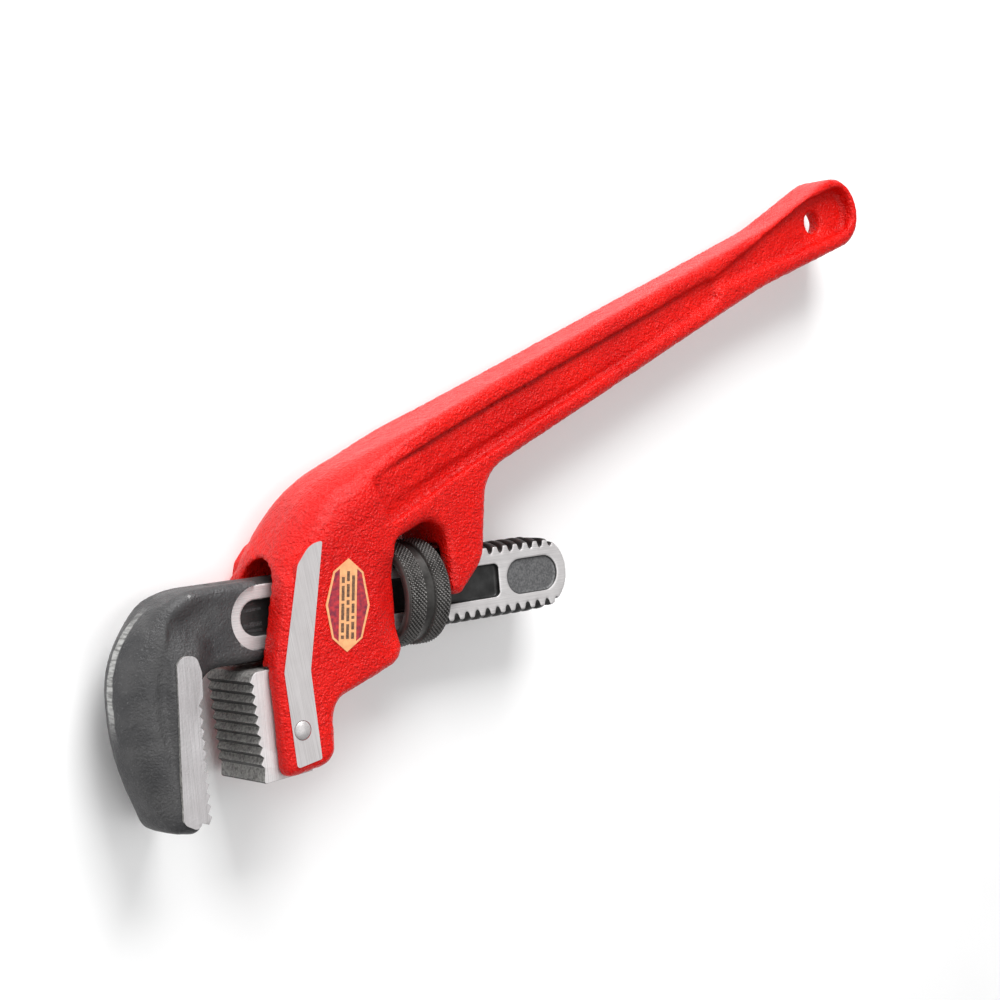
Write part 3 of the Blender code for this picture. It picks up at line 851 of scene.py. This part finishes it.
def build_nut():
    """Ring of revolution, with a diamond knurl pressed into its two outer bands."""
    x, radius = nut_profile()
    sides = KNURL_AROUND * KNURL_SAMPLES
    turns = np.arange(sides) / sides
    reach = knurled_radius(x, radius, turns)
    angle = 2 * math.pi * turns
    width = np.broadcast_to(x[:, None], reach.shape)
    points = np.stack([width, reach * np.cos(angle), reach * np.sin(angle)], 2)
    rows = len(x)
    faces = []
    for row in range(rows):
        here, there = row * sides, (row + 1) % rows * sides
        for column in range(sides):
            beside = (column + 1) % sides
            faces.append((here + column, here + beside, there + beside, there + column))
    mesh = bpy.data.meshes.new("nut_ring")
    mesh.from_pydata((points.reshape(-1, 3) * MM).tolist(), [], faces)
    return bake(add_object("nut_ring", mesh))


def label_layer(corners, heights, colour):
    """Plate of one printed colour of the label, with its faces in that colour's material."""
    low, high = heights
    made = plate("label_layer", corners, LABEL_BASE + low, LABEL_BASE + high)
    made.data.polygons.foreach_set("material_index", [colour] * len(made.data.polygons))
    return made


def label_bar(centre_x, centre_y, half_width, half_height):
    """Corners of an upright rectangle."""
    return [
        (centre_x - half_width, centre_y - half_height),
        (centre_x + half_width, centre_y - half_height),
        (centre_x + half_width, centre_y + half_height),
        (centre_x - half_width, centre_y + half_height),
    ]


def build_label():
    """Printed plate: a light card, a dark red panel on either side, and bars in place of text."""
    layers = [label_layer(LABEL_CORNERS, CARD_LAYER, 0)]
    for side in (-1, 1):
        panel = [(side * x, y) for x, y in LABEL_PANEL]
        layers.append(label_layer(panel, PANEL_LAYER, 1))
    for column, words in zip(WORD_COLUMNS, LABEL_WORDS):
        start = WORD_START
        for length in words:
            bar = label_bar(column, start + length / 2, WORD_HALF, length / 2)
            layers.append(label_layer(bar, WORD_LAYER, 2))
            start += length + WORD_GAP
    label = join("label_plate", layers)
    label.data.transform(Matrix.Rotation(LABEL_LEAN, 4, "Z"))
    label.data.transform(Matrix.Translation(Vector((*LABEL_CENTRE, 0)) * MM))
    return label


def join(name, parts):
    """One object of all the parts, which keep their material indices."""
    work = bmesh.new()
    for part in parts:
        work.from_mesh(part.data)
        bpy.data.objects.remove(part)
    mesh = bpy.data.meshes.new(name)
    work.to_mesh(mesh)
    work.free()
    return add_object(name, mesh)


# ---------------------------------------------------------------- materials


class Surface:
    """A Principled material and the nodes that feed it, in the piece's own coordinates."""

    def __init__(self, name, metallic):
        self.material = bpy.data.materials.new(name)
        self.material.use_nodes = True
        self.tree = self.material.node_tree
        self.shader = self.tree.nodes["Principled BSDF"]
        self.shader.inputs["Metallic"].default_value = metallic
        self.coordinates = self.tree.nodes.new("ShaderNodeTexCoord")
        self.bump = None

    def node(self, kind, **settings):
        made = self.tree.nodes.new(kind)
        for key, value in settings.items():
            setattr(made, key, value)
        return made

    def link(self, output, target):
        self.tree.links.new(output, target)

    def place(self, scale, turn):
        """Object coordinates, turned about Z and then scaled."""
        turned = self.node("ShaderNodeMapping")
        turned.inputs["Rotation"].default_value = (0, 0, -turn)
        self.link(self.coordinates.outputs["Object"], turned.inputs["Vector"])
        scaled = self.node("ShaderNodeMapping")
        scaled.inputs["Scale"].default_value = scale
        self.link(turned.outputs["Vector"], scaled.inputs["Vector"])
        return scaled.outputs["Vector"]

    def noise(self, size, detail=3.0, stretch=(1, 1, 1), turn=0.0):
        """Noise whose features are about size millimetres across, times the stretch."""
        made = self.node("ShaderNodeTexNoise")
        made.inputs["Scale"].default_value = 1 / (size * MM)
        made.inputs["Detail"].default_value = detail
        self.link(self.place([1 / s for s in stretch], turn), made.inputs["Vector"])
        return made.outputs["Fac"]

    def spread(self, value, low, high, start=0.0, end=1.0):
        """Maps low..high of a value to start..end, clamped."""
        made = self.node("ShaderNodeMapRange", clamp=True)
        self.link(value, made.inputs["Value"])
        made.inputs["From Min"].default_value = low
        made.inputs["From Max"].default_value = high
        made.inputs["To Min"].default_value = start
        made.inputs["To Max"].default_value = end
        return made.outputs["Result"]

    def drift(self, size, detail, first, second, low=0.35, high=0.65):
        """Colour that wanders between two others over about size millimetres."""
        return self.mix(self.spread(self.noise(size, detail), low, high), first, second)

    def roughness(self, size, smooth, rough, detail=3.0):
        """Roughness that wanders between two values over about size millimetres."""
        return self.spread(self.noise(size, detail), 0.3, 0.7, smooth, rough)

    def maths(self, operation, first, second=0.0):
        made = self.node("ShaderNodeMath", operation=operation)
        for socket, value in zip(made.inputs, (first, second)):
            if isinstance(value, (int, float)):
                socket.default_value = value
            else:
                self.link(value, socket)
        return made.outputs["Value"]

    def mix(self, share, first, second):
        """Colour between two others, each a tuple or an output."""
        made = self.node("ShaderNodeMix", data_type="RGBA")
        self.link(share, made.inputs[0])
        for socket, value in zip((made.inputs[6], made.inputs[7]), (first, second)):
            if isinstance(value, tuple):
                socket.default_value = (*value, 1)
            else:
                self.link(value, socket)
        return made.outputs[2]

    def axis(self, output, name):
        """One coordinate of the piece's position ("Object") or of its normal ("Normal")."""
        parts = self.node("ShaderNodeSeparateXYZ")
        self.link(self.coordinates.outputs[output], parts.inputs["Vector"])
        return parts.outputs[name]

    def raise_by(self, height, depth):
        """Adds a bump of that depth, in millimetres."""
        made = self.node("ShaderNodeBump")
        made.inputs["Strength"].default_value = 1.0
        made.inputs["Distance"].default_value = depth * MM
        self.link(height, made.inputs["Height"])
        if self.bump:
            self.link(self.bump, made.inputs["Normal"])
        self.bump = made.outputs["Normal"]

    def done(self, colour, roughness):
        self.link(colour, self.shader.inputs["Base Color"])
        self.link(roughness, self.shader.inputs["Roughness"])
        if self.bump:
            self.link(self.bump, self.shader.inputs["Normal"])
        return self.material

    def edges(self, low, high):
        """1 on convex edges and 0 elsewhere."""
        return self.spread(self.node("ShaderNodeNewGeometry").outputs["Pointiness"], low, high)


def red_paint():
    """Gloss paint over a sand casting, with painted shade in its hollows, and paler patches along its
    convex edges that are painted highlight and wear.
    """
    made = Surface("red_paint_look", 0.0)
    colour = made.drift(26, 3.0, (0.56, 0.001, 0.0), (0.66, 0.003, 0.0))
    # Painted shade: darker red where pointiness marks a hollow.
    colour = made.mix(made.edges(0.42, 0.5), (0.30, 0.0, 0.0), colour)
    patches = made.spread(made.noise(3.5, 4.0), 0.55, 0.7)
    # Painted highlight and wear: paler red in patches on convex edges.
    edge_wear_and_highlight = made.maths("MULTIPLY", made.edges(0.56, 0.7), patches)
    colour = made.mix(edge_wear_and_highlight, colour, (0.70, 0.05, 0.03))
    made.raise_by(made.noise(0.9, 2.0), 1.0)
    made.raise_by(made.noise(3.2, 2.0), 0.7)
    made.shader.inputs["Coat Weight"].default_value = 0.08
    made.shader.inputs["Coat Roughness"].default_value = 0.2
    made.shader.inputs["Specular IOR Level"].default_value = 0.22
    return made.done(colour, made.roughness(7, 0.3, 0.42, 4.0))


def forged_colour(made):
    colour = made.drift(14, 4.0, (0.040, 0.040, 0.042), (0.070, 0.069, 0.070))
    specks = made.spread(made.noise(0.9, 3.0), 0.6, 0.8)
    return made.mix(specks, colour, (0.11, 0.11, 0.11))


def from_middle(made):
    """Height above or below the middle of the wrench's thickness."""
    return made.maths("ABSOLUTE", made.maths("SUBTRACT", made.axis("Object", "Z"), NUT_CENTRE.z))


def flash_band(made):
    """1 on the ground-off flash along the middle of the hook's outer edge, and 0 elsewhere."""
    wobble = made.maths("MULTIPLY", made.noise(3.0, 2.0), 1.4 * MM)
    height = made.maths("ADD", from_middle(made), wobble)
    near = made.spread(height, 2.2 * MM, 2.8 * MM, 1.0, 0.0)
    outward = made.spread(made.axis("Normal", "X"), -0.5, -0.8)
    low, high = NUT_CENTRE.y - 34 * MM, NUT_CENTRE.y - 22 * MM
    upper = made.spread(made.axis("Object", "Y"), low, high)
    return made.maths("MULTIPLY", made.maths("MULTIPLY", near, outward), upper)


def forged_steel():
    """Dark forged steel with pale specks, paler convex edges of painted highlight and wear, and a
    bright band of ground-off flash.
    """
    made = Surface("forged_look", 0.45)
    colour = forged_colour(made)
    marks = made.spread(made.noise(1.4, 3.0, (4, 0.5, 4)), 0.35, 0.6)
    bright = made.mix(marks, (0.16, 0.16, 0.155), (0.42, 0.42, 0.41))
    colour = made.mix(flash_band(made), colour, bright)
    # Painted highlight and wear: paler grey on convex edges.
    colour = made.mix(made.edges(0.54, 0.6), colour, (0.22, 0.22, 0.22))
    made.raise_by(made.noise(0.8, 3.0), 0.35)
    made.raise_by(made.noise(3.5, 3.0), 0.3)
    return made.done(colour, made.roughness(5, 0.42, 0.6, 4.0))


def black_steel():
    """Black oxide, paler on its edges: rubbed oxide and painted highlight."""
    made = Surface("black_look", 0.55)
    colour = made.drift(6, 4.0, (0.036, 0.034, 0.032), (0.070, 0.067, 0.064))
    # Painted highlight and rubbed oxide: paler on convex edges.
    colour = made.mix(made.edges(0.52, 0.6), colour, (0.20, 0.19, 0.185))
    made.raise_by(made.noise(0.5, 3.0), 0.03)
    return made.done(colour, made.roughness(3, 0.36, 0.52))


def ground_colour(made, stretch, turn, dark, light):
    """Ground metal: fine grind lines over a slow drift, as colour and bump."""
    lines = made.noise(0.35, 3.0, stretch, turn)
    colour = made.mix(made.spread(lines, 0.3, 0.7), dark, light)
    shade = made.drift(12, 3.0, (0.88, 0.87, 0.87), (1.0, 1.0, 1.0), 0.3, 0.7)
    tinted = made.node("ShaderNodeMix", data_type="RGBA", blend_type="MULTIPLY")
    tinted.inputs[0].default_value = 1.0
    made.link(colour, tinted.inputs[6])
    made.link(shade, tinted.inputs[7])
    made.raise_by(lines, 0.035)
    return tinted.outputs[2]


def ground_steel(name, stretch, turn=0.0):
    made = Surface(name, 0.35)
    colour = ground_colour(made, stretch, turn, (0.42, 0.40, 0.40), (0.60, 0.58, 0.58))
    return made.done(colour, made.roughness(4, 0.36, 0.5))


def toothed_steel(name, dark, light):
    """Ground side faces, and teeth of rough grey steel between them, with painted shade on their
    undersides.
    """
    made = Surface(name, 0.35)
    sides = ground_colour(made, (0.5, 60, 1), 0.0, dark, light)
    cut = made.drift(1.0, 4.0, (0.17, 0.165, 0.16), (0.46, 0.45, 0.43), 0.35, 0.68)
    # Painted shade: tooth faces turned towards -Y are darkened.
    painted_underside_shade = made.spread(made.axis("Normal", "Y"), -0.25, -0.45)
    cut = made.mix(painted_underside_shade, cut, (0.045, 0.043, 0.042))
    facing = made.maths("ABSOLUTE", made.axis("Normal", "Z"))
    made.raise_by(made.noise(0.7, 3.0), 0.12)
    colour = made.mix(made.spread(facing, 0.55, 0.75), cut, sides)
    return made.done(colour, made.roughness(4, 0.38, 0.55))


def shank_steel():
    """Bright ground flats, a mid-grey oval panel, and dark recess and thread."""
    made = Surface("shank_look", 0.4)
    height = from_middle(made)
    flats = ground_colour(made, (60, 0.5, 1), 0.0, (0.46, 0.45, 0.45), (0.68, 0.66, 0.66))
    dark = made.drift(6, 4.0, (0.014, 0.014, 0.014), (0.034, 0.034, 0.034))
    oval = made.drift(0.8, 3.0, (0.085, 0.085, 0.088), (0.16, 0.16, 0.162))
    raised = made.spread(height, (OVAL_FLOOR - 0.5) * MM, (OVAL_FLOOR - 0.35) * MM)
    start, end = NUT_CENTRE.x + 41.5 * MM, NUT_CENTRE.x + 42 * MM
    beyond_recess = made.spread(made.axis("Object", "X"), start, end)
    panel = made.maths("MULTIPLY", raised, beyond_recess)
    facing = made.spread(made.maths("ABSOLUTE", made.axis("Normal", "Z")), 0.7, 0.85)
    colour = made.mix(made.maths("MULTIPLY", panel, facing), dark, oval)
    top = made.spread(height, (SHANK_HALF - 0.3) * MM, (SHANK_HALF - 0.15) * MM)
    colour = made.mix(made.maths("MULTIPLY", top, facing), colour, flats)
    made.raise_by(made.noise(0.8, 3.0), 0.05)
    return made.done(colour, made.roughness(4, 0.36, 0.52))


def spring_steel():
    made = Surface("spring_look", 0.9)
    colour = made.drift(5, 3.0, (0.16, 0.155, 0.15), (0.28, 0.27, 0.26), 0.3, 0.7)
    made.raise_by(made.noise(0.5, 3.0), 0.02)
    return made.done(colour, made.roughness(3, 0.28, 0.42))


def printed(name, light, dark, size):
    """Print on the label, with the blotches of a well-used card."""
    made = Surface(name, 0.0)
    colour = made.drift(size, 5.0, light, dark, 0.35, 0.68)
    made.raise_by(made.noise(0.6, 3.0), 0.03)
    return made.done(colour, made.roughness(4, 0.4, 0.55))


def floor_paper():
    made = Surface("floor_look", 0.0)
    colour = made.drift(90, 3.0, (0.90, 0.90, 0.90), (0.93, 0.93, 0.93), 0.3, 0.7)
    made.raise_by(made.noise(1.5, 3.0), 0.02)
    return made.done(colour, made.roughness(30, 0.75, 0.85))


# ---------------------------------------------------------------- scene


def finish_piece(obj, body, nodes, surfaces, sharp=35):
    """Moves a piece to its place in the frame, gives it its look and body, and hides the CAD nodes it
    stands for.
    """
    obj.data.transform(Matrix.Translation(NUT_CENTRE))
    for surface in surfaces:
        obj.data.materials.append(surface)
    obj.data.shade_smooth()
    obj.data.set_sharp_from_angle(angle=math.radians(sharp))
    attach(obj, body)
    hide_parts(*nodes)


def dress_pieces():
    pad_steel = ground_steel("pad_look", (0.5, 60, 1), math.radians(8))
    strip_steel = toothed_steel("strip_look", (0.36, 0.35, 0.35), (0.52, 0.50, 0.51))
    heel_steel = toothed_steel("heel_look", (0.48, 0.47, 0.47), (0.68, 0.66, 0.66))
    red, forged = red_paint(), forged_steel()
    card = printed("card_look", (0.78, 0.40, 0.17), (0.66, 0.30, 0.13), 2.0)
    panel = printed("panel_look", (0.48, 0.02, 0.03), (0.12, 0.006, 0.03), 1.6)
    ink = printed("ink_look", (0.07, 0.03, 0.02), (0.22, 0.11, 0.05), 0.8)
    finish_piece(build_casting(), "handle", ["handle_housing"], [red], 60)
    for name, facing in (("pad_front", 1), ("pad_back", -1)):
        finish_piece(build_pad(name, facing), "handle", ["handle_housing"], [pad_steel, red])
    finish_piece(build_head(), "jaw", ["hook_jaw"], [forged], 50)
    finish_piece(build_shank(), "jaw", ["hook_jaw"], [shank_steel()], 50)
    finish_piece(build_tooth_strip(), "jaw", ["hook_jaw"], [strip_steel], 20)
    finish_piece(build_nut(), "nut", ["adjusting_nut"], [black_steel()], 50)
    finish_piece(build_heel(), "handle", ["heel_jaw"], [heel_steel], 20)
    finish_piece(build_label(), "handle", ["service_label"], [card, panel, ink])


def dress_cad_nodes():
    """Gives the small CAD nodes that stay in view their looks."""
    looks = {
        "heel_jaw_pin": ground_steel("pin_look", (1, 1, 1)),
        "spring_rivet": ground_steel("rivet_look", (1, 1, 1)),
        "flat_spring": spring_steel(),
        "coil_spring": spring_steel(),
    }
    for name, look in looks.items():
        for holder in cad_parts[name].material_slots:
            holder.material = look


def add_floor():
    mesh = bpy.data.meshes.new("floor")
    signs = [(-1, -1), (1, -1), (1, 1), (-1, 1)]
    corners = [(x * FLOOR_HALF, y * FLOOR_HALF, 0) for x, y in signs]
    mesh.from_pydata(corners, [], [(0, 1, 2, 3)])
    mesh.materials.append(floor_paper())
    add_object("floor", mesh)


def add_light(name, offset, size, power):
    """Soft area light at an offset from the nut, in metres, facing it."""
    lamp = bpy.data.lights.new(name, "AREA")
    lamp.size = size
    lamp.energy = power
    obj = bpy.data.objects.new(name, lamp)
    bpy.context.scene.collection.objects.link(obj)
    obj.location = NUT_CENTRE + Vector(offset)
    obj.rotation_euler = (-Vector(offset)).to_track_quat("-Z", "Y").to_euler()


def add_studio():
    world = bpy.data.worlds.new("studio")
    bpy.context.scene.world = world
    world.use_nodes = True
    background = world.node_tree.nodes["Background"]
    background.inputs["Color"].default_value = (1, 1, 1, 1)
    background.inputs["Strength"].default_value = WORLD_STRENGTH
    for name, offset, size, power in LIGHTS:
        add_light(name, offset, size, power)
    bpy.context.scene.view_settings.view_transform = "Standard"


def add_camera():
    camera = bpy.data.cameras.new("camera")
    camera.sensor_width = CAMERA_SENSOR
    camera.lens = CAMERA_LENS
    camera.shift_x, camera.shift_y = CAMERA_SHIFT
    camera.clip_start = CAMERA_NEAR
    place = Matrix.Translation(NUT_CENTRE + Vector(CAMERA_OFFSET))
    obj = bpy.data.objects.new("camera", camera)
    bpy.context.scene.collection.objects.link(obj)
    obj.matrix_world = place @ Matrix(CAMERA_AXES).transposed().to_4x4()
    bpy.context.scene.camera = obj


dress_pieces()
dress_cad_nodes()
add_floor()
add_studio()
add_camera()
